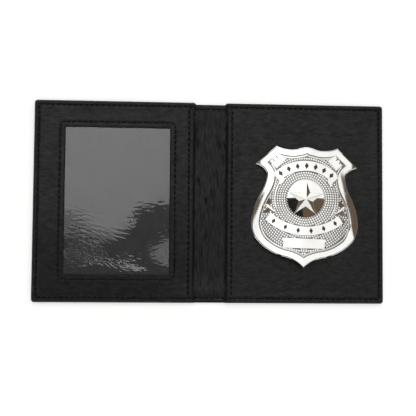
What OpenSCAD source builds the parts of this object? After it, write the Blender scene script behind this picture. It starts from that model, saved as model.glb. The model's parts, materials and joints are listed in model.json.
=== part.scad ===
// Bifold wallet lying open on its back: a clear card window on the left half,
// an arched shield badge pinned to the right half, and a fold made of strips between them.
// Origin: centre of the flat back. X runs from the window half to the badge half,
// Y along the fold, Z up from the surface that the wallet lies on.

/* [Wallet] */
// Height of the wallet, along the fold
wallet_h = 113; // [108:1:130]
// Width of each half, from the fold to the outer edge
half_w = 89.4; // [88:0.2:100]
// Width of the fold between the two halves
fold_w = 18.8; // [18:0.2:24]
// Play between two strips of the fold
strip_gap = 0.3; // [0.2:0.05:0.5]
// How far the top and bottom of the fold are drawn in
fold_draw_in = 0.5; // [0:0.1:1]

/* [Leather] */
// Thickness of the outer cover
cover_t = 1; // [0.8:0.1:1.2]
// Thickness of the stiffener board in each half
board_t = 1; // [0.6:0.1:1.2]
// Thickness of the lining
lining_t = 0.6; // [0.4:0.1:0.8]
// Thickness of the cover's turned edge, which is also the height of the card pocket
turned_t = 0.8; // [0.7:0.1:1]
// Thickness of the turned edge across the fold
fold_turned_t = 0.6; // [0.4:0.1:0.8]
// Width of the turned edge
turned_w = 7; // [5:0.5:8]
// Thickness of the two pocket panels
panel_t = 0.8; // [0.6:0.1:1]
// Strip of the cover's edge that shows beside a panel
edge_reveal = 0.5; // [0.3:0.1:0.8]
// Play around the board and the lining
layer_gap = 0.2; // [0.1:0.05:0.4]

/* [Card window] */
// Leather between the window and the outer edge
outer_border = 17.5; // [15.5:0.1:22]
// Leather between the window and the fold
mouth_border = 13.5; // [12:0.1:18]
// Leather above the window
top_border = 15.15; // [15:0.05:20]
// Leather below the window
bottom_border = 15.75; // [15:0.05:20]
// Thickness of the clear film
film_t = 0.3; // [0.2:0.05:0.4]
// How far the film reaches under the leather round the window
film_lap = 5.5; // [4:0.1:6]

/* [Stitching] */
// Distance from one stitch to the next
stitch_pitch = 3.1; // [2.5:0.1:4]
// Width of a stitch
thread_w = 0.5; // [0.3:0.1:0.7]
// How far a stitch stands above the leather
thread_h = 0.2; // [0.1:0.05:0.3]
// Distance of the edge seam from the panel's edge
edge_seam = 2.2; // [1.6:0.1:3]
// Distance of the pocket mouth's seam from the fold
mouth_seam = 2.7; // [2:0.1:4]
// Distance of the window's seam from the opening
window_seam = 3; // [2:0.1:3.5]
// Corner radius of the window's seam
window_seam_r = 3; // [2:0.5:5]

/* [Badge] */
// Greatest width of the shield
badge_w = 60.8; // [54:0.2:64]
// Height of the shield, from wing tops to point
badge_h = 67.6; // [60:0.2:72]
// Thickness of the shield's metal
badge_t = 1.6; // [1.2:0.1:2]
// Radius that the shield is bent to, about its upright middle line
badge_bend_r = 100; // [90:1:140]
// How far the badge sits towards the fold from the middle of its half
badge_shift = 1.1; // [0:0.1:3]
// Height of the badge's star above the middle of the wallet
badge_rise = 2.1; // [0:0.1:4]
// Clockwise turn of the badge on its panel, in degrees
badge_turn = 1.8; // [0:0.1:3]
// Height of the rim above the field
rim_step = 0.5; // [0.3:0.1:0.7]
// Height of the ribbons and the number plate above the field
relief_h = 0.4; // [0.3:0.1:0.6]
// Thickness of the enamel marks
enamel_t = 0.15; // [0.1:0.05:0.2]
// Radius of the round seal under the star
seal_r = 11.1; // [9:0.1:12]
// Height of the seal above the middle of the field
seal_h = 0.5; // [0.4:0.1:0.7]
// Radius of the star's points
star_r = 10.7; // [8:0.1:11.4]
// Height of the star's middle above the seal
star_h = 1.5; // [1:0.1:1.6]

/* [Pin] */
// Distance from the pin's hinge to its catch
pin_reach = 31.8; // [28:0.2:34]
// Drop of the pin's middle below the star
pin_drop = 4; // [2:0.5:6]
// Diameter of the pin
needle_d = 0.9; // [0.7:0.1:1.1]
// Height of the pin above the panel
needle_rise = 1; // [0.9:0.1:1.2]
// Outer radius of the catch
catch_r = 2.1; // [2:0.1:2.2]
// Width of the catch along the pin
catch_w = 2.2; // [1.8:0.1:2.6]
// Running clearance of the catch's collar
collar_gap = 0.1; // [0.05:0.01:0.15]

/* [Hidden] */

// Round surfaces, and the much larger round that the shield is bent to
round_fn = 48;
bend_fn = 360;
// Points along one curve of an outline
curve_steps = 8;
// One overrun for every cut
overrun = cover_t;

// Heights of the layers of a half, from the back up
board_z = cover_t;
lining_z = board_z + board_t;
pocket_z = lining_z + lining_t;
panel_z = pocket_z + turned_t;
panel_top = panel_z + panel_t;

// The fold: four strips between five hinge lines, with the hinge lines at its inner face
strips = 4;
strip_pitch = fold_w / strips;
fold_lining_z = cover_t;
fold_turned_z = fold_lining_z + lining_t;
fold_top = fold_turned_z + fold_turned_t;
fold_half_h = wallet_h / 2 - fold_draw_in;

// Places along X, measured on the badge's half
mouth_x = fold_w / 2 + strip_gap / 2;
outer_x = fold_w / 2 + half_w;
badge_x = (fold_w / 2 + outer_x) / 2 - badge_shift;
panel_outer_x = outer_x - edge_reveal;
panel_half_h = wallet_h / 2 - edge_reveal;

// The window opening, left by the leather round it
window_w = half_w - outer_border - mouth_border;
window_h = wallet_h - top_border - bottom_border;
window_x = (fold_w / 2 + mouth_border + outer_x - outer_border) / 2;
window_rise = (bottom_border - top_border) / 2;

// Stitches: how much of the pitch the thread shows
stitch_show_share = 0.7;

// The shield's bend: its long edges rest just clear of the panel
seat_gap = 0.1;
back_r = badge_bend_r - badge_t;
bend_z = panel_top + seat_gap - sqrt(pow(back_r, 2) - pow(badge_w / 2, 2));
back_top = bend_z + back_r;
field_r = badge_bend_r - rim_step;
field_top = bend_z + field_r;
relief_r = field_r + relief_h;
fused_depth = badge_t / 4;
joint_skin = 0.02;

// Half outline of the shield as [end, control] pairs, x in shares of the half width and
// y in shares of the height, from the top middle clockwise to the point.
// A pair whose control equals its end is a straight edge.
shield_shares = [
    [[0, 0.426], [0, 0.426]],
    [[0.14, 0.414], [0.06, 0.426]],
    [[0.283, 0.404], [0.21, 0.404]],
    [[0.567, 0.429], [0.444, 0.404]],
    [[0.941, 0.277], [0.941, 0.277]],
    [[0.734, 0.2], [0.763, 0.256]],
    [[0.845, 0.038], [0.737, 0.127]],
    [[1, -0.207], [0.993, -0.089]],
    [[0.849, -0.367], [1, -0.303]],
    [[0.401, -0.479], [0.668, -0.447]],
    [[0, -0.571], [0.164, -0.494]]];
// The same for the inner edge of the polished rim
field_shares = [
    [[0, 0.37], [0, 0.37]],
    [[0.12, 0.356], [0.03, 0.362]],
    [[0.27, 0.35], [0.2, 0.35]],
    [[0.533, 0.371], [0.42, 0.35]],
    [[0.735, 0.293], [0.735, 0.293]],
    [[0.589, 0.185], [0.6, 0.245]],
    [[0.69, 0.033], [0.592, 0.11]],
    [[0.858, -0.19], [0.84, -0.08]],
    [[0.73, -0.34], [0.858, -0.275]],
    [[0.36, -0.43], [0.57, -0.405]],
    [[0, -0.49], [0.13, -0.446]]];

// Ribbons: centre height, inner and outer radius in shares of the height, half angle,
// and the number of enamel marks on each
upper_ribbon_shares = [-0.08, 0.311, 0.399];
upper_ribbon_angle = 46;
upper_marks = 7;
lower_ribbon_shares = [0.22, 0.446, 0.525];
lower_ribbon_angle = 40;
lower_marks = 6;
// Half width and half height of an enamel lozenge, in shares of its ribbon's width
lozenge_shares = [0.2, 0.31];
// Half of the ribbon's angle that the marks take
marks_share = 0.8;
// Number plate: middle height, width and height in shares of the badge's height
plate_shares = [-0.368, 0.335, 0.076];
// Bead ring round the pebbled field: radius and width in shares of the seal's radius
ring_shares = [1.6, 0.06];
// Radius of the star's inner corners in shares of its points'
star_inner_share = 0.43;
star_points = 5;

// The pin and its catch, on the badge's middle line
needle_z = panel_top + needle_rise;
hinge_y = pin_reach / 2 - pin_drop;
catch_y = -pin_reach / 2 - pin_drop;
solder_gap = 0.1;
foot_t = 0.8;
foot_z = back_top - solder_gap - foot_t;
foot_w = 5;
ear_t = 0.8;
ear_space = 2.4;
ear_r = 1.3;
rivet_r = 0.5;
rivet_fit = 0.05;
rivet_head_r = 0.9;
rivet_head_t = 0.4;
eye_r = 1.1;
eye_play = 0.15;
needle_tip = 2;
ring_wall = 0.65;
stem_w = 2.4;
catch_slot = 1.3;
collar_wall = 0.7;
collar_lip = 0.4;
collar_lip_r = 1.8;
collar_play = 0.15;
lever_reach = 3;
lever_w = 1.2;

// The slot in the panel that the pin's fittings reach into, and the leather loop over the pin
pin_slot_w = 7.2;
pin_slot_end = 4.5;
loop_len = 16;
loop_flat_w = 2.6;
loop_clearance = 0.3;

// Points of a quadratic curve from a to b with control c, without its first point
function curve(a, c, b) = [for (i = [1:curve_steps])
    let (t = i / curve_steps) a * pow(1 - t, 2) + c * 2 * t * (1 - t) + b * pow(t, 2)];

// Half outline from a table of shares
function half_outline(shares) = [
    for (i = [0:len(shares) - 1])
    let (end = scaled(shares[i][0]), control = scaled(shares[i][1]))
    each i == 0 || shares[i][0] == shares[i][1] ? [end] : curve(scaled(shares[i - 1][0]), control, end)];
function scaled(share) = [share.x * badge_w / 2, share.y * badge_h];

// Whole outline: the half and its mirror image, without doubling the two middle points
function whole_outline(half) = concat(half,
    [for (i = [len(half) - 2:-1:1]) [-half[i].x, half[i].y]]);

function arc(centre_y, r, from, to) = [for (i = [0:curve_steps * 2])
    let (a = from + (to - from) * i / (curve_steps * 2)) [r * sin(a), centre_y + r * cos(a)]];

// Ribbon between two arcs, about the upright for the upper one and upside down for the lower
function ribbon_outline(shares, angle, turn) = concat(
    arc(shares[0] * badge_h, shares[2] * badge_h, turn - angle, turn + angle),
    arc(shares[0] * badge_h, shares[1] * badge_h, turn + angle, turn - angle));

// One stitch along X, centred, lying on z = 0
module stitch(length) {
    translate([-length / 2, -thread_w / 2, 0])
        cube([length, thread_w, thread_h]);
}

// Evenly spaced stitches from point a to point b
module stitch_row(a, b) {
    d = b - a;
    count = max(1, round(norm(d) / stitch_pitch));
    for (i = [0:count - 1])
        translate(a + d * (i + 0.5) / count)
            rotate(atan2(d.y, d.x))
                stitch(stitch_show_share * norm(d) / count);
}

module stitch_path(points) {
    for (i = [0:len(points) - 2])
        stitch_row(points[i], points[i + 1]);
}

// Outer cover of the badge's half: back, edge wall and turned edge on three sides
module cover_half() {
    difference() {
        translate([mouth_x, -wallet_h / 2, 0])
            cube([outer_x - mouth_x, wallet_h, panel_z]);
        translate([mouth_x - overrun, -wallet_h / 2 + cover_t, board_z])
            cube([outer_x - mouth_x - cover_t + overrun, wallet_h - 2 * cover_t, board_t + lining_t]);
        translate([mouth_x - overrun, -wallet_h / 2 + turned_w, pocket_z])
            cube([outer_x - mouth_x - turned_w + overrun, wallet_h - 2 * turned_w, turned_t + overrun]);
    }
}

// A flat layer inside the cover, from height z
module layer_half(z, t) {
    margin = cover_t + layer_gap;
    translate([mouth_x, -wallet_h / 2 + margin, z])
        cube([outer_x - mouth_x - margin, wallet_h - 2 * margin, t]);
}

// A pocket panel, before its opening is cut
module panel_half() {
    translate([mouth_x, -panel_half_h, panel_z])
        cube([panel_outer_x - mouth_x, panel_half_h * 2, panel_t]);
}

module edge_stitches_half() {
    x1 = panel_outer_x - edge_seam;
    y1 = panel_half_h - edge_seam;
    translate([0, 0, panel_top])
        stitch_path([[mouth_x, y1], [x1, y1], [x1, -y1], [mouth_x, -y1]]);
}

module mouth_stitches_half() {
    x1 = mouth_x + mouth_seam;
    y1 = panel_half_h - edge_seam - stitch_pitch / 2;
    translate([0, 0, panel_top])
        stitch_row([x1, -y1], [x1, y1]);
}

// Left edge of strip i, counted from the badge's half
function strip_x(i) = fold_w / 2 - i * strip_pitch + strip_gap / 2;

// Outer cover of one strip of the fold, with the turned edge at its two ends
module spine_cover(i) {
    width = strip_pitch - strip_gap;
    color([0.1, 0.1, 0.11])
        difference() {
            translate([strip_x(i), -fold_half_h, 0])
                cube([width, fold_half_h * 2, fold_top]);
            translate([strip_x(i) - overrun, -fold_half_h + cover_t, fold_lining_z])
                cube([width + overrun * 2, (fold_half_h - cover_t) * 2, lining_t]);
            translate([strip_x(i) - overrun, -fold_half_h + turned_w, fold_turned_z])
                cube([width + overrun * 2, (fold_half_h - turned_w) * 2, fold_turned_t + overrun]);
        }
}

module spine_lining(i) {
    half_h = fold_half_h - cover_t - layer_gap;
    color([0.13, 0.13, 0.13])
        translate([strip_x(i), -half_h, fold_lining_z])
            cube([strip_pitch - strip_gap, half_h * 2, lining_t]);
}

// The edge seam carried across one strip at the top and at the bottom
module spine_stitching(i) {
    y1 = fold_half_h - edge_reveal - edge_seam;
    x1 = strip_x(i) + strip_pitch - strip_gap;
    color([0.04, 0.04, 0.04])
        translate([0, 0, fold_top])
            for (side = [-1, 1])
                stitch_row([strip_x(i), side * y1], [x1, side * y1]);
}

module badge_cover() {
    color([0.1, 0.1, 0.11])
        cover_half();
}

module badge_board() {
    color([0.45, 0.4, 0.33])
        layer_half(board_z, board_t);
}

module badge_lining() {
    color([0.13, 0.13, 0.13])
        layer_half(lining_z, lining_t);
}

// The badge's panel with the slot for the pin and the loop of leather that lies over the pin
module badge_panel() {
    slot_len = pin_reach + pin_slot_end * 2;
    loop_z = needle_z + needle_d / 2 + loop_clearance;
    x_edge = pin_slot_w / 2;
    x_flat = loop_flat_w / 2;
    color([0.12, 0.12, 0.12]) {
        difference() {
            panel_half();
            on_badge()
                translate([-x_edge, -pin_drop - slot_len / 2, panel_z - overrun])
                    cube([pin_slot_w, slot_len, panel_t + overrun * 2]);
        }
        on_badge()
            translate([0, -pin_drop + loop_len / 2, 0])
                rotate([90, 0, 0])
                    linear_extrude(loop_len)
                        polygon([
                            [-x_edge - overrun, panel_z], [-x_edge, panel_z], [-x_flat, loop_z],
                            [x_flat, loop_z], [x_edge, panel_z], [x_edge + overrun, panel_z],
                            [x_edge + overrun, panel_top], [x_edge, panel_top], [x_flat, loop_z + panel_t],
                            [-x_flat, loop_z + panel_t], [-x_edge, panel_top], [-x_edge - overrun, panel_top]]);
    }
}

module badge_edge_stitching() {
    color([0.04, 0.04, 0.04])
        edge_stitches_half();
}

module badge_mouth_stitching() {
    color([0.04, 0.04, 0.04])
        mouth_stitches_half();
}

// Places what belongs to the badge: origin at the star's middle, z from the wallet's back
module on_badge() {
    translate([badge_x, badge_rise, 0])
        rotate(-badge_turn)
            children();
}

// Solid inside the bend of radius r
module bend(r) {
    translate([0, badge_h, bend_z])
        rotate([90, 0, 0])
            cylinder(h = badge_h * 2, r = r, $fn = bend_fn);
}

// An outline raised on the shield's bend, from radius r0 to radius r1
module on_bend(outline, r0, r1) {
    difference() {
        intersection() {
            translate([0, 0, panel_top])
                linear_extrude(bend_z + r1 + overrun - panel_top)
                    polygon(outline);
            bend(r1);
        }
        bend(r0);
    }
}

// Struck shield: polished rim, sunk field, two ribbons, number plate and a ring
module badge_shield() {
    plate_y = plate_shares[0] * badge_h;
    plate_w = plate_shares[1] * badge_h;
    plate_h = plate_shares[2] * badge_h;
    ring_r = ring_shares[0] * seal_r;
    ring_w = ring_shares[1] * seal_r;
    fused_r = field_r - fused_depth;
    color([0.82, 0.82, 0.83])
        on_badge() {
            difference() {
                on_bend(whole_outline(half_outline(shield_shares)), back_r, badge_bend_r);
                on_bend(whole_outline(half_outline(field_shares)), field_r, badge_bend_r + overrun);
            }
            on_bend(ribbon_outline(upper_ribbon_shares, upper_ribbon_angle, 0), fused_r, relief_r);
            on_bend(ribbon_outline(lower_ribbon_shares, lower_ribbon_angle, 180), fused_r, relief_r);
            on_bend([
                [-plate_w / 2, plate_y - plate_h / 2], [plate_w / 2, plate_y - plate_h / 2],
                [plate_w / 2, plate_y + plate_h / 2], [-plate_w / 2, plate_y + plate_h / 2]],
                fused_r, relief_r);
            // The ring shows at both sides, between the two ribbons
            for (side = [0, 180])
                on_bend(concat(
                    arc(0, ring_r, side + 75, side + 118),
                    arc(0, ring_r - ring_w, side + 118, side + 75)),
                    fused_r, relief_r);
        }
}

// Plain enamel lozenges in a row along each ribbon
module badge_enamel() {
    color([0.03, 0.03, 0.03])
        on_badge() {
            enamel_row(upper_ribbon_shares, upper_ribbon_angle, 0, upper_marks);
            enamel_row(lower_ribbon_shares, lower_ribbon_angle, 180, lower_marks);
        }
}

module enamel_row(shares, angle, turn, count) {
    band = (shares[2] - shares[1]) * badge_h;
    mid_r = (shares[2] + shares[1]) / 2 * badge_h;
    for (i = [0:count - 1]) {
        a = turn + angle * marks_share * (2 * i / (count - 1) - 1);
        on_bend([for (k = [0:3])
            let (u = lozenge_shares.x * band * sin(k * 90), v = lozenge_shares.y * band * cos(k * 90))
            [(mid_r + v) * sin(a) + u * cos(a),
                shares[0] * badge_h + (mid_r + v) * cos(a) - u * sin(a)]],
            relief_r + joint_skin, relief_r + enamel_t);
    }
}

// Round seal soldered on the field, flat on top
module badge_seal() {
    color([0.86, 0.86, 0.87])
        on_badge()
            difference() {
                translate([0, 0, bend_z])
                    cylinder(h = field_r + seal_h, r = seal_r, $fn = round_fn * 2);
                bend(field_r + joint_skin);
            }
}

// Faceted five-pointed star on the seal
module badge_star() {
    n = star_points * 2;
    rim = [for (i = [0:n - 1])
        let (r = i % 2 == 0 ? star_r : star_r * star_inner_share)
        [r * sin(i * 360 / n), r * cos(i * 360 / n), 0]];
    color([0.88, 0.88, 0.89])
        on_badge()
            translate([0, 0, field_top + seal_h])
                polyhedron(
                    points = concat(rim, [[0, 0, star_h], [0, 0, 0]]),
                    faces = concat(
                        [for (i = [0:n - 1]) [n, i, (i + 1) % n]],
                        [for (i = [0:n - 1]) [n + 1, (i + 1) % n, i]]));
}

// A round bar along X through the pin's axis
module bar_x(r, length) {
    translate([-length / 2, 0, needle_z])
        rotate([0, 90, 0])
            cylinder(h = length, r = r, $fn = round_fn);
}

// A round bar along Y on the pin's axis, from y0 to y1
module bar_y(r, y0, y1) {
    translate([0, y1, needle_z])
        rotate([90, 0, 0])
            cylinder(h = y1 - y0, r = r, $fn = round_fn);
}

// Bracket on the badge's back: a foot and two ears with the rivet's holes
module pin_hinge_bracket() {
    color([0.7, 0.7, 0.72])
        on_badge()
            translate([0, hinge_y, 0])
                difference() {
                    union() {
                        translate([-foot_w / 2, -foot_w / 2, foot_z])
                            cube([foot_w, foot_w, foot_t]);
                        for (side = [-1, 1])
                            translate([side * (ear_space + ear_t) / 2, 0, 0]) {
                                bar_x(ear_r, ear_t);
                                translate([-ear_t / 2, -ear_r, needle_z])
                                    cube([ear_t, ear_r * 2, foot_z + foot_t - needle_z]);
                            }
                    }
                    bar_x(rivet_r + rivet_fit, foot_w);
                }
}

module pin_rivet() {
    ear_outside = ear_space / 2 + ear_t;
    color([0.75, 0.75, 0.76])
        on_badge()
            translate([0, hinge_y, 0]) {
                bar_x(rivet_r, ear_outside * 2 + rivet_head_t);
                for (side = [-1, 1])
                    translate([side * (ear_outside + rivet_head_t / 2), 0, 0])
                        bar_x(rivet_head_r, rivet_head_t);
            }
}

// The pin: an eye round the rivet, a straight shank and a point inside the catch
module pin_needle() {
    length = pin_reach + catch_w / 2;
    shank = length - needle_tip;
    color([0.78, 0.78, 0.8])
        on_badge()
            translate([0, hinge_y, 0])
                difference() {
                    union() {
                        bar_x(eye_r, ear_space - eye_play * 2);
                        translate([0, 0, needle_z])
                            rotate([90, 0, 0])
                                rotate_extrude($fn = round_fn)
                                    polygon([
                                        [0, 0], [needle_d / 2, 0], [needle_d / 2, shank],
                                        [needle_d / 8, length], [0, length]]);
                    }
                    bar_x(rivet_r + rivet_fit, ear_space);
                }
}

// Fixed part of the catch: a ring on a stem, open on one side
module catch_housing() {
    y0 = catch_y - catch_w / 2;
    y1 = catch_y + catch_w / 2;
    color([0.7, 0.7, 0.72])
        on_badge()
            difference() {
                union() {
                    bar_y(catch_r, y0, y1);
                    translate([-stem_w / 2, y0, needle_z])
                        cube([stem_w, catch_w, foot_z + foot_t - needle_z]);
                    translate([-foot_w / 2, y0, foot_z])
                        cube([foot_w, catch_w, foot_t]);
                }
                bar_y(catch_r - ring_wall, y0 - overrun, y1 + overrun);
                translate([0, y0 - overrun, needle_z - catch_slot / 2])
                    cube([catch_r + overrun, catch_w + overrun * 2, catch_slot]);
            }
}

// Turning collar that shuts the catch: a slotted sleeve with a lip, and a thumb lever
module catch_collar() {
    y0 = catch_y - catch_w / 2 - collar_play;
    y1 = catch_y + catch_w / 2 + collar_play;
    sleeve_r = catch_r - ring_wall - collar_gap;
    slot_w = needle_d + collar_gap * 2;
    color([0.62, 0.62, 0.64])
        on_badge()
            difference() {
                union() {
                    bar_y(sleeve_r, y0, y1);
                    bar_y(collar_lip_r, y1, y1 + collar_lip);
                    bar_y(collar_lip_r, y0 - collar_lip, y0);
                    translate([0, y0 - collar_lip, needle_z - lever_w / 2])
                        cube([lever_reach, collar_lip, lever_w]);
                }
                bar_y(sleeve_r - collar_wall, y0 - overrun, y1 + overrun);
                translate([-slot_w / 2, y0 - overrun, needle_z - collar_lip_r - overrun])
                    cube([slot_w, y1 - y0 + overrun * 2, collar_lip_r + overrun]);
            }
}

module window_cover() {
    color([0.1, 0.1, 0.11])
        mirror([1, 0, 0])
            cover_half();
}

module window_board() {
    color([0.45, 0.4, 0.33])
        mirror([1, 0, 0])
            layer_half(board_z, board_t);
}

module window_lining() {
    color([0.13, 0.13, 0.13])
        mirror([1, 0, 0])
            layer_half(lining_z, lining_t);
}

// A flat rectangle centred on the window, margin wider than it all round
module window_sheet(margin, z, t) {
    translate([-window_x - window_w / 2 - margin, window_rise - window_h / 2 - margin, z])
        cube([window_w + margin * 2, window_h + margin * 2, t]);
}

// Clear film behind the opening
module window_film() {
    color([0.62, 0.64, 0.66, 0.5])
        window_sheet(film_lap, panel_z - film_t, film_t);
}

module window_panel() {
    color([0.12, 0.12, 0.12])
        difference() {
            mirror([1, 0, 0])
                panel_half();
            window_sheet(0, panel_z - overrun, panel_t + overrun * 2);
        }
}

module window_edge_stitching() {
    color([0.04, 0.04, 0.04])
        mirror([1, 0, 0])
            edge_stitches_half();
}

module window_mouth_stitching() {
    color([0.04, 0.04, 0.04])
        mirror([1, 0, 0])
            mouth_stitches_half();
}

// Seam that holds the film, with its corners cut across
module window_seam_stitching() {
    x1 = window_w / 2 + window_seam;
    y1 = window_h / 2 + window_seam;
    x2 = x1 - window_seam_r;
    y2 = y1 - window_seam_r;
    color([0.04, 0.04, 0.04])
        translate([-window_x, window_rise, panel_top])
            stitch_path([
                [x2, y1], [-x2, y1], [-x1, y2], [-x1, -y2],
                [-x2, -y1], [x2, -y1], [x1, -y2], [x1, y2], [x2, y1]]);
}

badge_cover();
badge_board();
badge_lining();
badge_panel();
badge_edge_stitching();
badge_mouth_stitching();
badge_shield();
badge_enamel();
badge_seal();
badge_star();
pin_hinge_bracket();
pin_rivet();
pin_needle();
catch_housing();
catch_collar();
spine_cover(1);  // spine_cover_1
spine_cover(2);  // spine_cover_2
spine_cover(3);  // spine_cover_3
spine_cover(4);  // spine_cover_4
spine_lining(1);  // spine_lining_1
spine_lining(2);  // spine_lining_2
spine_lining(3);  // spine_lining_3
spine_lining(4);  // spine_lining_4
spine_stitching(1);  // spine_stitching_1
spine_stitching(2);  // spine_stitching_2
spine_stitching(3);  // spine_stitching_3
spine_stitching(4);  // spine_stitching_4
window_cover();
window_board();
window_lining();
window_film();
window_panel();
window_edge_stitching();
window_mouth_stitching();
window_seam_stitching();
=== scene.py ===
"""Bifold id badge wallet lying open: leather, thread, clear film and a shield badge."""
import json
import math

import bmesh
import bpy
import numpy as np
from mathutils import Matrix, Vector
from mathutils.geometry import delaunay_2d_cdt


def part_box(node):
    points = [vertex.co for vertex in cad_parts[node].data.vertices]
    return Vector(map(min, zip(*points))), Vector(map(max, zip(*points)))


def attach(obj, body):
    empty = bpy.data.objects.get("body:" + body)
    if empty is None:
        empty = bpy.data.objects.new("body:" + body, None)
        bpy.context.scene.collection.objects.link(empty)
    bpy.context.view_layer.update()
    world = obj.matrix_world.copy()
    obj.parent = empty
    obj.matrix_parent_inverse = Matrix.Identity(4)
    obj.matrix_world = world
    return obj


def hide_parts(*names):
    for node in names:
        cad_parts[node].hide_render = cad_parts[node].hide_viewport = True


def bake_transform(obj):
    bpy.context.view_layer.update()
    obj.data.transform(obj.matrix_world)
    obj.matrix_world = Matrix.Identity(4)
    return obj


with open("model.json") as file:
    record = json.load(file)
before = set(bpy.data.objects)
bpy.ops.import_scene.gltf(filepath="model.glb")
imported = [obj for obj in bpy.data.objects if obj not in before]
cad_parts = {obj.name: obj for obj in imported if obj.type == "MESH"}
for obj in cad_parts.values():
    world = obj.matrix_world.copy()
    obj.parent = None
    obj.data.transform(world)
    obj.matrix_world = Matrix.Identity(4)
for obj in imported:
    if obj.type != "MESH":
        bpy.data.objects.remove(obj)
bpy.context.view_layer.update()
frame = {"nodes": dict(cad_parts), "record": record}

# Every size below is in millimetres, and a mesh is made in metres
MM = 0.001


def box_mm(node):
    """Lowest and highest corner of a CAD node."""
    low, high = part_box(node)
    return np.array(low) / MM, np.array(high) / MM


# The frame: halves, fold, window and badge
cover_low, cover_high = box_mm("badge_cover")
panel_low, panel_high = box_mm("window_panel")
film_low, film_high = box_mm("window_film")
strip_high = box_mm("spine_cover_1")[1]
lining_high = box_mm("spine_lining_1")[1]
seal_low, seal_high = box_mm("badge_seal")
shield_high = box_mm("badge_shield")[1]
joints = frame["record"]["behaviour"]["joints"]
hinge_x = [j["pos_m"][0] / MM for j in joints if j["name"].startswith("fold_")]

MOUTH_X = cover_low[0]
COVER_X = cover_high[0]
COVER_H = cover_high[1]
PANEL_X = -panel_low[0]
PANEL_H = panel_high[1]
PANEL_Z = panel_low[2]
PANEL_TOP = panel_high[2]
FOLD_H = strip_high[1]
FOLD_TOP = strip_high[2]
STRIP_W = hinge_x[0] - hinge_x[1]

COVER_T = 1.0
TURNED_W = 7.0
TURNED_T = 0.8
FOLD_TURNED_T = 0.6
COVER_CORNER = 1.7
PANEL_CORNER = 1.3

# Seams, measured from the panel's edge, the fold and the window
STITCH_PITCH = 3.1
STITCH_SHARE = 0.72
THREAD_R = 0.3
EDGE_SEAM = 2.2
MOUTH_SEAM = 2.7
WINDOW_SEAM = 3.0
WINDOW_SEAM_R = 3.0
GROOVE_W = 0.5
GROOVE_DEPTH = 0.22

# The window opening, inside the film
FILM_LAP = 5.5
window_low = film_low[:2] + FILM_LAP
window_high = film_high[:2] - FILM_LAP
window_mid = (window_low + window_high) / 2
window_half = (window_high - window_low) / 2

# The badge: place, turn and the cylinder that it is bent to, along its upright line
badge_x, badge_y = ((seal_low + seal_high) / 2)[:2]
BADGE_TURN = math.radians(-1.8)
BADGE_W = 60.8
BADGE_H = 67.6
BEND_R = 100.0
BEND_LEAN = 0.18
SHIELD_T = 1.6
FIELD_DEPTH = 0.5
RELIEF_H = 0.4
BACK_R = BEND_R - SHIELD_T
FIELD_R = BEND_R - FIELD_DEPTH
RELIEF_R = FIELD_R + RELIEF_H
bend_z = shield_high[2] - BEND_R


def smooth(t):
    t = np.clip(t, 0, 1)
    return t * t * (3 - 2 * t)


def bump_at(t, width):
    """One at t = 0, falling away over the width."""
    return np.exp(-((t / width) ** 2))


def waves(u, v, count, shortest, longest, spread, seed):
    """Sum of waves whose crests run along X, within the spread of angles; its height stays near one."""
    dice = np.random.default_rng(seed)
    total = np.zeros_like(u)
    for _ in range(count):
        length = dice.uniform(shortest, longest)
        angle = dice.uniform(-spread, spread)
        phase = dice.uniform(0, 2 * math.pi)
        along = u * math.sin(angle) + v * math.cos(angle)
        total += np.sin(2 * math.pi * along / length + phase)
    return total / math.sqrt(count)


# Meshes

# Points closer than this become one
WELD = 0.002


def grid_faces(rows, cols, wrap=False):
    index = np.arange(rows * cols).reshape(rows, cols)
    if wrap:
        index = np.hstack([index, index[:, :1]])
    corners = [index[:-1, :-1], index[1:, :-1], index[1:, 1:], index[:-1, 1:]]
    return np.stack(corners, -1).reshape(-1, 4)


class Piece:
    """Points and faces of one mesh, gathered shape by shape."""

    def __init__(self):
        self.points = []
        self.faces = []
        self.count = 0

    def add(self, points, faces):
        points = np.asarray(points, float).reshape(-1, 3)
        self.points.append(points)
        self.faces += [[int(i) + self.count for i in face] for face in faces]
        self.count += len(points)

    def add_grid(self, points, wrap=False):
        rows, cols = points.shape[:2]
        self.add(points, grid_faces(rows, cols, wrap))

    def add_polygon(self, points):
        self.add(points, [range(len(points))])

    def add_tube(self, rings):
        """A tube of closed rings, filled at both ends."""
        self.add_grid(np.array(rings), wrap=True)
        self.add_polygon(rings[0])
        self.add_polygon(rings[-1])

    def build(self, name, material, slot, sharp=40.0, bevel=0.0):
        mesh, work = open_mesh(name, np.concatenate(self.points), self.faces)
        bmesh.ops.remove_doubles(work, verts=work.verts, dist=WELD * MM)
        if bevel:
            bmesh.ops.bevel(
                work, geom=work.edges, offset=bevel * MM, segments=2, profile=0.5, affect="EDGES")
        return close_mesh(mesh, work, material, sharp)


def open_mesh(name, points, faces):
    """A mesh of points in millimetres, and its working copy."""
    mesh = bpy.data.meshes.new(name)
    mesh.from_pydata((np.asarray(points, float) * MM).tolist(), [], faces)
    work = bmesh.new()
    work.from_mesh(mesh)
    return mesh, work


def linked(name, data):
    """A new object in the scene."""
    obj = bpy.data.objects.new(name, data)
    bpy.context.collection.objects.link(obj)
    return obj


def close_mesh(mesh, work, material, sharp):
    """The finished object, made from the working copy."""
    bmesh.ops.recalc_face_normals(work, faces=work.faces)
    work.to_mesh(mesh)
    work.free()
    mesh.materials.append(material)
    mesh.shade_smooth()
    mesh.set_sharp_from_angle(angle=math.radians(sharp))
    obj = linked(mesh.name, mesh)
    return obj


def show(obj, body, *nodes):
    """The object moves with the body and stands in for the CAD nodes, if there are any."""
    if nodes:
        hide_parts(*nodes)
    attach(obj, body)


# Materials


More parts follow.
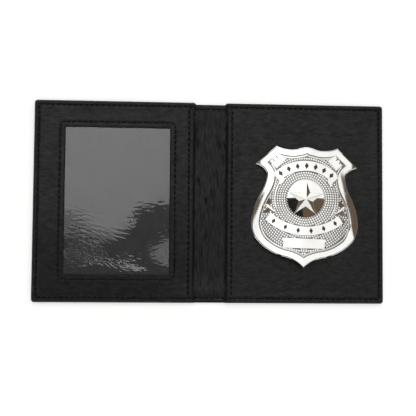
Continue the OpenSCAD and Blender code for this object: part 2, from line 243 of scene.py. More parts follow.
class Graph:
    """A node tree; an input is given as a value or as another node's output."""

    def __init__(self, tree):
        self.nodes = tree.nodes
        self.links = tree.links

    def feed(self, socket, value):
        if isinstance(value, bpy.types.NodeSocket):
            self.links.new(value, socket)
        else:
            socket.default_value = value

    def add(self, kind, inputs, **settings):
        """A new node with its settings and inputs."""
        node = self.nodes.new("ShaderNode" + kind)
        for name, value in settings.items():
            setattr(node, name, value)
        for socket, value in inputs.items():
            self.feed(node.inputs[socket], value)
        return node

    def math(self, operation, a, b=0.0):
        return self.add("Math", {0: a, 1: b}, operation=operation).outputs[0]


# Nearly all values of a noise lie between these
NOISE_RANGE = (0.3, 0.7)


class Look(Graph):
    """A material with one Principled shader."""

    def __init__(self, name, color, roughness, metallic=0.0, specular=0.5):
        self.material = bpy.data.materials.new(name)
        self.material.use_nodes = True
        super().__init__(self.material.node_tree)
        self.shader = self.nodes["Principled BSDF"]
        self.put("Base Color", (*color, 1))
        self.put("Roughness", roughness)
        self.put("Metallic", metallic)
        self.put("Specular IOR Level", specular)

    def put(self, socket, value):
        self.feed(self.shader.inputs[socket], value)

    def place(self, stretch=(1, 1, 1)):
        """Object coordinates in millimetres, stretched."""
        coordinates = self.add("TexCoord", {}).outputs["Object"]
        scale = [s / MM for s in stretch]
        return self.add("Mapping", {"Vector": coordinates, "Scale": scale}).outputs["Vector"]

    def noise(self, place, size, detail=3.0, roughness=0.55):
        """Noise whose features are about size millimetres across."""
        inputs = {"Vector": place, "Scale": 1 / size, "Detail": detail, "Roughness": roughness}
        return self.add("TexNoise", inputs).outputs["Fac"]

    def cells(self, place, size):
        inputs = {"Vector": place, "Scale": 1 / size}
        return self.add("TexVoronoi", inputs, feature="SMOOTH_F1").outputs["Distance"]

    def remap(self, value, out_low=0.0, out_high=1.0, between=NOISE_RANGE):
        inputs = {"Value": value, "From Min": between[0], "From Max": between[1]}
        inputs.update({"To Min": out_low, "To Max": out_high})
        return self.add("MapRange", inputs).outputs["Result"]

    def blend(self, factor, first, second):
        node = self.add("ValToRGB", {"Fac": factor})
        for element, color in zip(node.color_ramp.elements, (first, second)):
            element.color = (*color, 1)
        return node.outputs["Color"]

    def bump(self, *heights):
        """Bump maps, one over another: (value, strength, distance in millimetres) each."""
        over = {}
        for value, strength, distance in heights:
            inputs = {"Height": value, "Strength": strength, "Distance": distance * MM, **over}
            over = {"Normal": self.add("Bump", inputs).outputs["Normal"]}
        self.put("Normal", over["Normal"])


LEATHER_DARK = (0.0025, 0.0024, 0.0024)
LEATHER_LIGHT = (0.0095, 0.009, 0.0092)
LINING_LIGHT = (0.0085, 0.008, 0.0082)
LEATHER_GLOSS = (0.11, 0.31)


def leather(name, light, roughness, grain, grain_depth, stretch=(1, 1, 1), streaks=(0.35, 1, 1)):
    """Fine cells and pores, slow changes of tone, and gloss that varies in streaks with the wear."""
    look = Look(name, LEATHER_DARK, roughness, specular=0.2)
    place = look.place(stretch)
    tone = look.remap(look.noise(place, 2.6, detail=5, roughness=0.7))
    look.put("Base Color", look.blend(tone, LEATHER_DARK, light))
    wiped = look.noise(look.place(streaks), 1.5, detail=5, roughness=0.75)
    look.put("Specular IOR Level", look.remap(wiped, *LEATHER_GLOSS))
    gloss = look.noise(place, 6, detail=5, roughness=0.65)
    look.put("Roughness", look.remap(gloss, roughness - 0.08, roughness + 0.1))
    look.bump(
        (look.cells(place, grain), 0.5, grain_depth),
        (look.noise(place, grain * 0.35, detail=2), 0.35, grain_depth * 0.6),
        (look.noise(place, 2.2), 0.8, 0.25),
        (look.noise(place, 9, detail=2), 0.4, 0.3))
    return look.material


# Share of its brightness that the metal keeps where it is tarnished
TARNISH = 0.93


def metal(name, color, roughness, spread, scratch, stretch=(1, 1, 1)):
    """Plated metal: hairline scratches and gloss that varies slightly."""
    look = Look(name, color, roughness, metallic=1.0)
    place = look.place(stretch)
    gloss = look.noise(place, 5, detail=4, roughness=0.6)
    look.put("Roughness", look.remap(gloss, roughness, roughness + spread, (0.35, 0.65)))
    tarnish = look.remap(look.noise(place, 9, detail=4), between=(0.35, 0.7))
    look.put("Base Color", look.blend(tarnish, color, tuple(c * TARNISH for c in color)))
    look.bump((look.noise(place, 0.6, detail=2), scratch, 0.01))
    return look.material


def thread_material():
    """Waxed thread, twisted and slightly fuzzy."""
    look = Look("thread", (0.0025, 0.0025, 0.0025), 0.6, specular=0.1)
    place = look.place()
    inputs = {"Vector": place, "Scale": 1.1, "Distortion": 0.6}
    twist = look.add("TexWave", inputs, bands_direction="DIAGONAL").outputs["Fac"]
    look.bump((twist, 0.7, 0.06), (look.noise(place, 0.12), 0.4, 0.02))
    look.put("Roughness", look.remap(look.noise(place, 0.8), 0.5, 0.75))
    return look.material


def enamel_material():
    look = Look("enamel", (0.006, 0.006, 0.007), 0.12)
    place = look.place()
    look.bump((look.noise(place, 0.9, detail=2), 0.25, 0.03))
    look.put("Roughness", look.remap(look.noise(place, 2), 0.1, 0.22))
    return look.material


def board_material():
    """Grey-brown cardboard with fibres along it."""
    look = Look("board", (0.33, 0.28, 0.21), 0.9)
    fibres = look.noise(look.place((1, 0.3, 1)), 0.8, detail=6, roughness=0.7)
    look.put("Base Color", look.blend(fibres, (0.22, 0.18, 0.13), (0.42, 0.36, 0.27)))
    look.bump((fibres, 0.5, 0.08), (look.noise(look.place(), 0.3), 0.3, 0.03))
    return look.material


def film_material():
    """Clear vinyl."""
    look = Look("film", (0.93, 0.935, 0.94), 0.03)
    look.put("Transmission Weight", 1.0)
    look.put("IOR", 1.5)
    look.bump((look.noise(look.place((0.3, 1, 1)), 1.1, roughness=0.6), 0.2, 0.012))
    return look.material


panel_leather = leather("panel_leather", LEATHER_LIGHT, 0.38, 0.6, 0.06)
cover_leather = leather("cover_leather", LEATHER_LIGHT, 0.4, 0.7, 0.05)
lining_leather = leather("lining", LINING_LIGHT, 0.38, 0.5, 0.06, (1, 0.22, 1), (1, 0.3, 1))
badge_chrome = metal("badge_metal", (0.74, 0.735, 0.715), 0.025, 0.02, 0.08)
field_chrome = metal("badge_field", (0.2, 0.196, 0.188), 0.4, 0.1, 0.4)
pin_chrome = metal("pin_metal", (0.72, 0.71, 0.68), 0.14, 0.1, 0.3)
needle_steel = metal("needle_steel", (0.66, 0.66, 0.67), 0.2, 0.12, 0.5, (1, 0.1, 1))
thread = thread_material()
enamel = enamel_material()
board = board_material()
film = film_material()


# Pocket panels

# Sides of a grid's cells near a mark, and away from it
FINE = 0.22
COARSE = 0.85
FINE_REACH = 1.8


def lines(stops, marks):
    """Grid lines through every stop, close together near the marks."""
    out = [stops[0]]
    for stop in stops[1:]:
        while out[-1] < stop:
            near = min(abs(out[-1] - mark) for mark in marks)
            out.append(out[-1] + FINE + (COARSE - FINE) * float(smooth(near / FINE_REACH)))
        out[-1] = stop
    return np.array(out)


def rounded(u, v, edge_x, edge_y, radius):
    """Moves the grid's two outer corners onto a round corner."""
    du = u - (edge_x - radius)
    dv = np.abs(v) - (edge_y - radius)
    inside = (du > 0) & (dv > 0)
    reach = np.hypot(du, dv)
    share = np.where(inside, np.maximum(du, dv) / np.maximum(reach, 1e-9), 1)
    x = np.where(inside, edge_x - radius + du * share, u)
    y = np.where(inside, np.sign(v) * (edge_y - radius + dv * share), v)
    return x, y


def panel_slab(name, xs, ys, surface, keep):
    """A panel with a modelled top and a flat underside, without the cells that keep() refuses."""
    u, v = np.meshgrid(xs, ys, indexing="ij")
    points = np.stack(surface(u, v), -1)
    kept = keep((u[:-1, :-1] + u[1:, 1:]) / 2, (v[:-1, :-1] + v[1:, 1:]) / 2).ravel()
    mesh, work = open_mesh(name, points.reshape(-1, 3), grid_faces(*u.shape)[kept].tolist())
    loose = [vert for vert in work.verts if not vert.link_faces]
    bmesh.ops.delete(work, geom=loose, context="VERTS")
    rim = [edge for edge in work.edges if edge.is_boundary]
    walls = bmesh.ops.extrude_edge_only(work, edges=rim)["geom"]
    for vert in (g for g in walls if isinstance(g, bmesh.types.BMVert)):
        vert.co.z = PANEL_Z * MM
    foot = [g for g in walls if isinstance(g, bmesh.types.BMEdge) and g.is_boundary]
    bmesh.ops.triangle_fill(work, edges=foot, use_beauty=True)
    return close_mesh(mesh, work, panel_leather, sharp=50.0)


EDGE_ROUND = 0.55
MOUTH_ROUND = 0.35
OPENING_ROUND = 0.3
# How far the leather swells: outside the edge seam, inside it, at the mouth and round the window
RIDGE_H = 0.34
SWELL_H = 0.14
MOUTH_RIDGE_H = 0.2
WINDOW_RIDGE_H = 0.1
PANEL_WAVE_H = 0.1
# Below one, the ridge at the edge is blunt
RIDGE_POWER = 0.8
# The swelling beyond a seam: distance of its crest from the seam, and its width
SWELL_AT, SWELL_W = 1.3, 1.2
WINDOW_SWELL_AT, WINDOW_SWELL_W = 1.2, 1.0
# The cut edge of the window is pressed down, and the seams' grooves are deeper at the thread's holes
PRESSED_DEPTH, PRESSED_W = 0.2, 0.8
PUCKER_SHARE = 0.35


def dropped(distance, radius):
    """Fall of a surface near a rounded edge."""
    inward = radius - np.clip(distance, 0, radius)
    return np.sqrt(np.maximum(radius**2 - inward**2, 0)) - radius


def swelling(distance, width):
    """Rises from zero to one and falls again to zero over the width."""
    return np.sin(math.pi * np.clip(distance / width, 0, 1))


def seam_groove(distance, along):
    """A groove along a seam, pulled in deeper where the thread goes down."""
    pucker = 1 - PUCKER_SHARE * np.cos(2 * math.pi * along / STITCH_PITCH)
    return -GROOVE_DEPTH * pucker * bump_at(distance, GROOVE_W)


def box_distance(x, y, middle, half, radius=0.0):
    """Distance outside a rectangle with round corners, negative inside."""
    qx = np.abs(x - middle[0]) - half[0] + radius
    qy = np.abs(y - middle[1]) - half[1] + radius
    outside = np.hypot(np.maximum(qx, 0), np.maximum(qy, 0))
    return outside + np.minimum(np.maximum(qx, qy), 0) - radius


def panel_height(u, v, seed):
    """Top of a panel, before any window: sewn and ridged at three sides, sewn and cut at the mouth."""
    edge = np.minimum(PANEL_X - u, PANEL_H - np.abs(v))
    beside = PANEL_X - u < PANEL_H - np.abs(v)
    mouth = u - MOUTH_X
    z = PANEL_TOP + PANEL_WAVE_H * waves(u, v, 6, 20, 50, 1.5, seed)
    z = z + RIDGE_H * swelling(edge, EDGE_SEAM) ** RIDGE_POWER
    z = z + SWELL_H * bump_at(edge - EDGE_SEAM - SWELL_AT, SWELL_W)
    z = z + seam_groove(edge - EDGE_SEAM, np.where(beside, v, mouth))
    z = z + MOUTH_RIDGE_H * swelling(mouth, MOUTH_SEAM)
    z = z + np.where(edge > EDGE_SEAM, seam_groove(mouth - MOUTH_SEAM, v), 0)
    return z + dropped(edge, EDGE_ROUND) + dropped(mouth, MOUTH_ROUND)


def badge_panel_surface(u, v):
    x, y = rounded(u, v, PANEL_X, PANEL_H, PANEL_CORNER)
    return x, y, panel_height(u, v, 5)


def window_panel_surface(u, v):
    """Mirrored, with a seam round the opening and the cut edge pressed down."""
    x, y = rounded(u, v, PANEL_X, PANEL_H, PANEL_CORNER)
    seam = box_distance(-u, v, window_mid, window_half + WINDOW_SEAM, WINDOW_SEAM_R)
    opening = box_distance(-u, v, window_mid, window_half)
    along = np.where(np.abs(u + window_mid[0]) > window_half[0], v, u)
    z = panel_height(u, v, 3) + seam_groove(seam, along)
    beyond = bump_at(seam - WINDOW_SWELL_AT, WINDOW_SWELL_W)
    z = z + WINDOW_RIDGE_H * (swelling(opening, WINDOW_SEAM) + beyond)
    z = z - PRESSED_DEPTH * np.exp(-np.maximum(opening, 0) / PRESSED_W)
    return -x, y, z + dropped(opening, OPENING_ROUND)


def both(values):
    """The values, and the same with the other sign."""
    return sorted({-v for v in values} | set(values))


edge_marks_x = [MOUTH_X, MOUTH_X + MOUTH_SEAM, PANEL_X - EDGE_SEAM, PANEL_X]
edge_marks_y = both([PANEL_H, PANEL_H - EDGE_SEAM])
# The slot for the pin's fittings, in the badge's panel
PIN_SLOT_W = 7.2
PIN_SLOT_LEN = 40.8
PIN_DROP = 4.0
pin_y = badge_y - PIN_DROP
pin_slot_x = [badge_x - PIN_SLOT_W / 2, badge_x + PIN_SLOT_W / 2]
pin_slot_y = [pin_y - PIN_SLOT_LEN / 2, pin_y + PIN_SLOT_LEN / 2]


def make_badge_panel():
    xs = lines([MOUTH_X, *pin_slot_x, PANEL_X], edge_marks_x)
    ys = lines([-PANEL_H, *pin_slot_y, PANEL_H], edge_marks_y)

    def keep(u, v):
        beside = (u < pin_slot_x[0]) | (u > pin_slot_x[1])
        return beside | (v < pin_slot_y[0]) | (v > pin_slot_y[1])

    panel = panel_slab("badge_panel_leather", xs, ys, badge_panel_surface, keep)
    show(panel, "badge_side", "badge_panel")


def make_window_panel():
    low, high = window_low - WINDOW_SEAM, window_high + WINDOW_SEAM
    opening_x, seam_x = [-window_high[0], -window_low[0]], [-high[0], -low[0]]
    opening_y, seam_y = [window_low[1], window_high[1]], [low[1], high[1]]
    xs = lines([MOUTH_X, *opening_x, PANEL_X], edge_marks_x + opening_x + seam_x)
    ys = lines([-PANEL_H, *opening_y, PANEL_H], edge_marks_y + opening_y + seam_y)

    def keep(u, v):
        return box_distance(-u, v, window_mid, window_half) > 0

    panel = panel_slab("window_panel_leather", xs, ys, window_panel_surface, keep)
    show(panel, "window_side", "window_panel")


def add_sheet(piece, x, y, top, bottom):
    """A closed sheet between two heights over one grid."""
    above = np.stack([x, y, top], -1)
    below = np.stack([x, y, bottom], -1)
    piece.add_grid(above)
    piece.add_grid(below)
    for edge in (np.s_[0], np.s_[-1], np.s_[:, 0], np.s_[:, -1]):
        piece.add_grid(np.stack([above[edge], below[edge]]))


LOOP_W = 9.2
LOOP_LEN = 16.0
LOOP_T = 0.8
LOOP_TOP = 6.95
# Half width of the raised part at its foot, and the width of each slope
LOOP_FOOT = 4.0
LOOP_SLOPE = 2.7
LOOP_SINK = 0.02
LOOP_WAVE_H = 0.05


def make_pin_loop():
    """Strip of the badge's panel that lies over the pin."""
    xs = np.linspace(-LOOP_W / 2, LOOP_W / 2, 25)
    ys = np.linspace(-LOOP_LEN / 2, LOOP_LEN / 2, 17)
    rise = (LOOP_TOP - PANEL_TOP) * smooth((LOOP_FOOT - np.abs(xs)) / LOOP_SLOPE)
    x, y = np.meshgrid(xs, ys, indexing="ij")
    top = PANEL_TOP - LOOP_SINK + rise[:, None] + LOOP_WAVE_H * np.sin(y * 1.1)
    loop = Piece()
    add_sheet(loop, badge_x + x, pin_y + y, top, top - LOOP_T)
    show(loop.build("badge_pin_loop", panel_leather, "panel_leather"), "badge_side")


# Outer cover of the two halves, and the fold

HEM_ROUND = 0.85
HEM_BEVEL = 0.15
# Crest of the hem: distance from the edge, and share of the seam's depth
HEM_CREST = [(1.6, 0.5), (1.2, 0.45)]
# Section through a seam's groove, in shares of its width and depth
GROOVE_SHARES = [(1.2, 0), (0.7, 0.4), (0.35, 0.85), (0, 1), (-0.35, 0.85), (-0.7, 0.4), (-1.2, 0)]


def hem_profile(top, turned_t, seam_depth):
    """Section through a turned edge as (distance from the edge, height).

    It runs from the floor inside over the top and round the edge to the back.
    """
    seam = EDGE_SEAM + COVER_X - PANEL_X
    under = top - turned_t
    points = [(TURNED_W, COVER_T), (COVER_T, COVER_T), (COVER_T, under), (TURNED_W, under)]
    points += [(TURNED_W, top - HEM_BEVEL), (TURNED_W - HEM_BEVEL, top)]
    points += [(seam + s * GROOVE_W, top - d * seam_depth) for s, d in GROOVE_SHARES]
    points += [(distance, top + share * seam_depth) for distance, share in HEM_CREST]
    turns = [math.radians(15 * i) for i in range(7)]
    arc = [(HEM_ROUND * (1 - math.sin(a)), HEM_ROUND * (1 - math.cos(a))) for a in turns]
    points += [(inward, top - drop) for inward, drop in arc]
    points += [(inward, height) for height, inward in arc]
    points += [(seam - s * GROOVE_W, d * GROOVE_DEPTH) for s, d in GROOVE_SHARES]
    points.append((TURNED_W, 0))
    return np.array(points)


# Points along a half's upper and lower edge, down its side and round a corner
ALONG, BESIDE, ROUND = 120, 150, 8


def hem_path(distance):
    """Points of the three-sided edge of a half, moved inward by the distance."""
    corner = max(COVER_CORNER, distance)
    radius = max(COVER_CORNER - distance, 0)
    top_x = np.linspace(MOUTH_X, COVER_X - corner, ALONG)
    side_y = np.linspace(COVER_H - corner, corner - COVER_H, BESIDE)
    angle = np.radians(np.linspace(90, 0, ROUND))[1:-1]
    arc_x = COVER_X - corner + radius * np.cos(angle)
    arc_y = COVER_H - corner + radius * np.sin(angle)
    edge_y = np.full(ALONG, COVER_H - distance)
    side_x = np.full(BESIDE, COVER_X - distance)
    x = np.concatenate([top_x, arc_x, side_x, arc_x[::-1], top_x[::-1]])
    y = np.concatenate([edge_y, arc_y, side_y, -arc_y[::-1], -edge_y])
    return x, y


def make_cover(side, half):
    rows = []
    for distance, z in hem_profile(PANEL_Z, TURNED_T, 0.0):
        x, y = hem_path(distance)
        rows.append(np.stack([side * x, y, np.full_like(x, z)], -1))
    rows = np.array(rows)
    cover = Piece()
    cover.add_grid(rows)
    cover.add_polygon(rows[0])
    cover.add_polygon(rows[-1])
    cover.add_polygon(np.concatenate([rows[:, 0], rows[::-1, -1]]))
    obj = cover.build(f"{half}_cover_leather", cover_leather, "cover_leather")
    show(obj, f"{half}_side", f"{half}_cover")


# The fold is five pieces, one for each bend
fold_stops = [MOUTH_X] + [x - STRIP_W / 2 for x in hinge_x[:-1]] + [-MOUTH_X]
# The dressed fold lies a little lower than the middle of the halves
FOLD_SHIFT = -0.38


def show_fold(obj, kind, i):
    """Bend i, counted from the badge's half, takes the place of the CAD strips under it."""
    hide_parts(*(f"spine_{kind}_{k}" for k in (i, i + 1) if 1 <= k <= 4))
    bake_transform(obj)


# Over this distance from a half, the fold's edge takes the half's shape
COVER_JOIN = 1.6
BEND_SECTIONS = 13


def make_fold_cover(i):
    sections = []
    thin = hem_profile(FOLD_TOP, FOLD_TURNED_T, GROOVE_DEPTH)
    thick = hem_profile(PANEL_Z, TURNED_T, 0.0)
    for x in np.linspace(fold_stops[i], fold_stops[i + 1], BEND_SECTIONS):
        share = float(smooth((abs(x) - MOUTH_X + COVER_JOIN) / COVER_JOIN))
        half = thin + (thick - thin) * share
        edge = FOLD_H + (COVER_H - FOLD_H) * share
        y = np.concatenate([edge - half[:, 0], half[::-1, 0] - edge]) + FOLD_SHIFT * (1 - share)
        z = np.concatenate([half[:, 1], half[::-1, 1]])
        sections.append(np.stack([np.full_like(y, x), y, z], -1))
    cover = Piece()
    cover.add_tube(sections)
    show_fold(cover.build(f"fold_cover_{i + 1}", cover_leather, "cover_leather"), "cover", i)


def crease_height(x, y):
    """Fine creases of the lining along the fold, uneven in length and depth."""
    drift = 0.5 * np.sin(y / 17 + 1.3) + 0.35 * np.sin(y / 7.3 + x / 3)
    fine = waves(y * 0.2 + drift * 0.4, x + drift * 0.4, 14, 0.7, 1.6, 0.9, 21)
    wide = waves(y * 0.06, x + drift, 4, 2.5, 5, 0.6, 8)
    patch = 0.6 + 0.4 * np.sin(y / 5.1 + 2 * np.sin(x / 2.1)) * np.sin(y / 11 + x)
    return 0.12 * fine * patch + 0.05 * wide


LINING_REACH = 3.0
LINING_MARGIN = 3.4
LINING_CELL = 0.16
LINING_ROWS = 170
LINING_GAP = 0.03
LINING_LIFT = 0.14
LINING_ROUND = 0.5
# Slopes up to a panel and onto the turned edge: start outside the line that they climb to, and width
PANEL_SLOPE = (1.3, 1.6)
HEM_SLOPE = (8, 9)
# Height over the cover's layers under a panel, and over the turned edge, where it sags to a share of it
UNDER_PANEL = 0.12
OVER_HEM = -0.05
HEM_SHARE = 0.6
# Share of the rounding that its edge shows, and share of the creases lost over the turned edge
EDGE_FALL = 0.7
FLATTENED = 0.4


def make_fold_lining(i):
    """The lining lies over the turned edge, up to the seam, and runs in under both panels."""
    start = fold_stops[i] + (LINING_REACH if i == 0 else 0)
    end = fold_stops[i + 1] - (LINING_REACH if i == 4 else 0)
    half_h = FOLD_H - LINING_MARGIN
    xs = np.linspace(start, end, int(abs(end - start) / LINING_CELL))
    ys = np.linspace(-1, 1, LINING_ROWS) * half_h
    x, y = np.meshgrid(xs, ys, indexing="ij")
    raised = smooth((np.abs(x) - MOUTH_X + PANEL_SLOPE[0]) / PANEL_SLOPE[1])
    flat = 1 - raised
    over = smooth((np.abs(y) - FOLD_H + TURNED_W + HEM_SLOPE[0]) / HEM_SLOPE[1]) * flat
    base = lining_high[2]
    lift = (PANEL_Z - TURNED_T + UNDER_PANEL - base) * raised
    lift = lift + (FOLD_TOP - COVER_T + OVER_HEM) * over * HEM_SHARE
    edge = dropped(half_h - np.abs(y), LINING_ROUND) * EDGE_FALL
    creased = LINING_LIFT + crease_height(x, y) * (1 - FLATTENED * over)
    top = base + lift + creased * flat + edge
    lining = Piece()
    add_sheet(lining, x, y + FOLD_SHIFT * flat, top, COVER_T + LINING_GAP + lift)
    show_fold(lining.build(f"fold_lining_{i + 1}", lining_leather, "lining"), "lining", i)


# Stitches

# Rings along a stitch: place in shares of its half length, size in shares of the thread's radius
STITCH_RINGS = [
    (-1, 0.35), (-0.93, 0.75), (-0.75, 1), (-0.3, 1), (0.3, 1), (0.75, 1), (0.93, 0.75), (1, 0.35)]
STITCH_SIDES = 8
STITCH_SLANT = math.radians(5)
# How far a stitch's ends dip, as a share of the thread's radius
DIP_SHARE = 0.9
# How deep a seam lies, as a share of its groove, and how far its stitches stand up from there
SINK_SHARE = 0.75
THREAD_LIFT = 0.1
BACK_THREAD_Z = 0.27
seam_z = PANEL_TOP - GROOVE_DEPTH * SINK_SHARE


def add_stitches(piece, places, lift=THREAD_LIFT, sign=1):
    """Adds one rounded stitch for each (x, y, z, angle, length); its ends dip into the leather."""
    turns = np.linspace(0, 2 * math.pi, STITCH_SIDES, endpoint=False)
    for x, y, z, angle, length in places:
        cos, sin = math.cos(angle + STITCH_SLANT), math.sin(angle + STITCH_SLANT)
        rings = []
        for along, share in STITCH_RINGS:
            reach = along * length / 2
            side = THREAD_R * share * np.cos(turns)
            up = THREAD_R * share * np.sin(turns) - THREAD_R * DIP_SHARE * along**4
            ring = [x + reach * cos - side * sin, y + reach * sin + side * cos, z + sign * (up + lift)]
            rings.append(np.stack(ring, -1))
        piece.add_tube(rings)


def add_back_stitches(piece, places):
    """The same stitches where they show on the back of the cover."""
    back = [(x, y, BACK_THREAD_Z, angle, length) for x, y, z, angle, length in places]
    add_stitches(piece, back, 0.0, -1)


def path_places(points):
    """Evenly spaced stitches along each straight of a seam as (x, y, z, angle, length)."""
    places = []
    for a, b in zip(np.array(points, float), np.array(points[1:], float)):
        span = b - a
        length = float(np.hypot(*span))
        count = max(1, round(length / STITCH_PITCH))
        angle = math.atan2(span[1], span[0])
        for i in range(count):
            x, y = a + span * (i + 0.5) / count
            places.append((x, y, seam_z, angle, STITCH_SHARE * length / count))
    return places


def make_half_stitching(side, half):
    side_x, edge_y = PANEL_X - EDGE_SEAM, PANEL_H - EDGE_SEAM
    corners = [(MOUTH_X, edge_y), (side_x, edge_y), (side_x, -edge_y), (MOUTH_X, -edge_y)]
    edge = path_places([(side * x, y) for x, y in corners])
    mouth_x = side * (MOUTH_X + MOUTH_SEAM)
    mouth_y = edge_y - STITCH_PITCH / 2
    mouth = path_places([(mouth_x, -mouth_y), (mouth_x, mouth_y)])
    for kind, places in (("edge", edge), ("mouth", mouth)):
        seam = Piece()
        add_stitches(seam, places)
        obj = seam.build(f"{half}_{kind}_thread", thread, "thread")
        show(obj, f"{half}_side", f"{half}_{kind}_stitching")
    seam = Piece()
    add_back_stitches(seam, edge)
    show(seam.build(f"{half}_back_thread", thread, "thread"), f"{half}_side")


def make_window_seam():
    x1, y1 = window_half + WINDOW_SEAM
    corners = []
    for cx, cy, start in ((1, 1, 0), (-1, 1, 90), (-1, -1, 180), (1, -1, 270)):
        middle = np.array([cx * (x1 - WINDOW_SEAM_R), cy * (y1 - WINDOW_SEAM_R)])
        for turn in (0, 45, 90):
            a = math.radians(start + turn)
            arm = WINDOW_SEAM_R * np.array([math.cos(a), math.sin(a)])
            corners.append(window_mid + middle + arm)
    seam = Piece()
    add_stitches(seam, path_places(corners + corners[:1]))
    obj = seam.build("window_seam_thread", thread, "thread")
    show(obj, "window_side", "window_seam_stitching")


FOLD_STITCHES = 6


def make_fold_stitching(i):
    """The edge seam carried over the fold."""
    step = (hinge_x[0] - hinge_x[-1]) / FOLD_STITCHES
    seam_y = FOLD_H - EDGE_SEAM - (COVER_X - PANEL_X)
    z = FOLD_TOP - GROOVE_DEPTH * SINK_SHARE
    places = []
    for k in range(FOLD_STITCHES):
        x = hinge_x[0] - step * (k + 0.5)
        if fold_stops[i + 1] < x <= fold_stops[i]:
            for side in (-1, 1):
                places.append((x, side * seam_y + FOLD_SHIFT, z, 0.0, STITCH_SHARE * step))
    seam = Piece()
    add_stitches(seam, places)
    add_back_stitches(seam, places)
    show_fold(seam.build(f"fold_thread_{i + 1}", thread, "thread"), "stitching", i)


# Clear film behind the window

RIPPLE_H = 0.035
BULGE_H = 0.015
FILM_T = 0.16
FILM_SINK = 0.06
FILM_MARGIN = 2.4
FILM_COLS, FILM_ROWS = 110, 260
# The ripples fade out over this width at the window's edge
FILM_EASE = 2.0


def film_height(x, y):
    """Ripples that run across the window, stronger toward its lower outer corner."""
    low = smooth((14 - y) / 30) * smooth((y + 39) / 9)
    outer = smooth((-38 - x) / 30)
    strength = 0.25 + 0.75 * low * (0.45 + 0.55 * outer)
    strength = strength * (0.7 + 0.3 * np.sin(x / 4.1 + 1.5 * np.sin(y / 3.3)))
    fine = waves(x * 0.6, y + 0.2 * x * outer, 16, 1.2, 3.0, 0.7, 31)
    broad = waves(x, y, 4, 25, 50, 1.5, 17)
    return RIPPLE_H * strength * fine + BULGE_H * broad


def make_film():
    low, high = window_low - FILM_MARGIN, window_high + FILM_MARGIN
    xs = np.linspace(low[0], high[0], FILM_COLS)
    ys = np.linspace(low[1], high[1], FILM_ROWS)
    x, y = np.meshgrid(xs, ys, indexing="ij")
    inner = smooth(-box_distance(x, y, window_mid, window_half) / FILM_EASE)
    top = film_high[2] - FILM_SINK + film_height(x, y) * inner
    sheet = Piece()
    add_sheet(sheet, x, y, top, top - FILM_T)
    show(sheet.build("window_vinyl", film, "film", sharp=60), "window_side", "window_film")


# Badge

# Half outlines as (end, control) pairs from the top middle clockwise to the point, x in shares of
# the half width and y in shares of the height
shield_shares = [
    ((0, 0.43), (0, 0.43)), ((0.14, 0.417), (0.06, 0.43)), ((0.283, 0.405), (0.21, 0.405)),
    ((0.567, 0.433), (0.444, 0.405)), ((0.96, 0.281), (0.96, 0.281)), ((0.734, 0.2), (0.763, 0.256)),
    ((0.845, 0.038), (0.737, 0.127)), ((1, -0.207), (0.993, -0.089)), ((0.849, -0.367), (1, -0.303)),
    ((0.401, -0.48), (0.668, -0.448)), ((0, -0.575), (0.164, -0.496))]
field_shares = [
    ((0, 0.379), (0, 0.379)), ((0.12, 0.36), (0.03, 0.366)), ((0.27, 0.35), (0.2, 0.35)),
    ((0.533, 0.371), (0.42, 0.35)), ((0.735, 0.293), (0.735, 0.293)), ((0.589, 0.185), (0.6, 0.245)),
    ((0.69, 0.033), (0.592, 0.11)), ((0.858, -0.19), (0.84, -0.08)), ((0.73, -0.34), (0.858, -0.275)),
    ((0.36, -0.43), (0.57, -0.405)), ((0, -0.49), (0.13, -0.446))]
CURVE_STEPS = 12


def outline(shares):
    """Whole outline from a table of shares, the left half mirrored from the right."""
    scale = np.array([BADGE_W / 2, BADGE_H])
    points = [np.array(shares[0][0]) * scale]
    for end, control in shares[1:]:
        a, b = points[-1], np.array(end) * scale
        c = (a + b) / 2 if end == control else np.array(control) * scale
        for i in range(1, CURVE_STEPS + 1):
            t = i / CURVE_STEPS
            points.append(a * (1 - t) ** 2 + c * 2 * t * (1 - t) + b * t**2)
    half = np.array(points)
    return np.concatenate([half, half[-2:0:-1] * (-1, 1)])


def inset(loop, distance):
    """The loop moved inward; it runs clockwise."""
    ahead = np.roll(loop, -1, 0) - loop
    ahead /= np.linalg.norm(ahead, axis=1)[:, None]
    behind = np.roll(ahead, 1, 0)
    normal = np.stack([ahead[:, 1] + behind[:, 1], -ahead[:, 0] - behind[:, 0]], -1)
    length = np.maximum(np.linalg.norm(normal, axis=1), 0.5)
    return loop + normal * (2 * distance / length**2)[:, None]


def inside(points, loop):
    """Which points lie inside the loop."""
    x, y = points[:, 0][:, None], points[:, 1][:, None]
    ax, ay = loop[:, 0], loop[:, 1]
    bx, by = np.roll(ax, -1), np.roll(ay, -1)
    crosses = (ay > y) != (by > y)
    at = ax + (y - ay) * (bx - ax) / np.where(by == ay, 1e-9, by - ay)
    return (crosses & (x < at)).sum(1) % 2 == 1


def clearance(points, loop):
    """Distance from each point to the nearest edge of the loop."""
    a, b = loop, np.roll(loop, -1, 0)
    span = b - a
    rel = points[:, None] - a
    t = np.clip((rel * span).sum(2) / np.maximum((span**2).sum(1), 1e-9), 0, 1)
    return np.linalg.norm(rel - t[..., None] * span, axis=2).min(1)


def on_badge(x, y, z):
    """From the badge's own place to the wallet's frame."""
    cos, sin = math.cos(BADGE_TURN), math.sin(BADGE_TURN)
    return np.stack([badge_x + x * cos - y * sin, badge_y + x * sin + y * cos, z], -1)


def bent(points, radius):
    """Flat badge points raised on the bend of that radius; its sides lean a little to the right."""
    x, y = points[..., 0], points[..., 1]
    height = np.sqrt(radius**2 - x**2)
    return on_badge(x + BEND_LEAN * (radius - height), y, bend_z + height)


# Spacing of inner points, and of the rows in shares of it; none is nearer to the loop than the margin
FLAT_FILL, FIELD_FILL, RELIEF_FILL, SMALL_FILL, FINE_FILL = 4.0, 1.8, 1.3, 0.8, 0.5
ROW_SHARE = 0.87
MARGIN_SHARE = 0.45


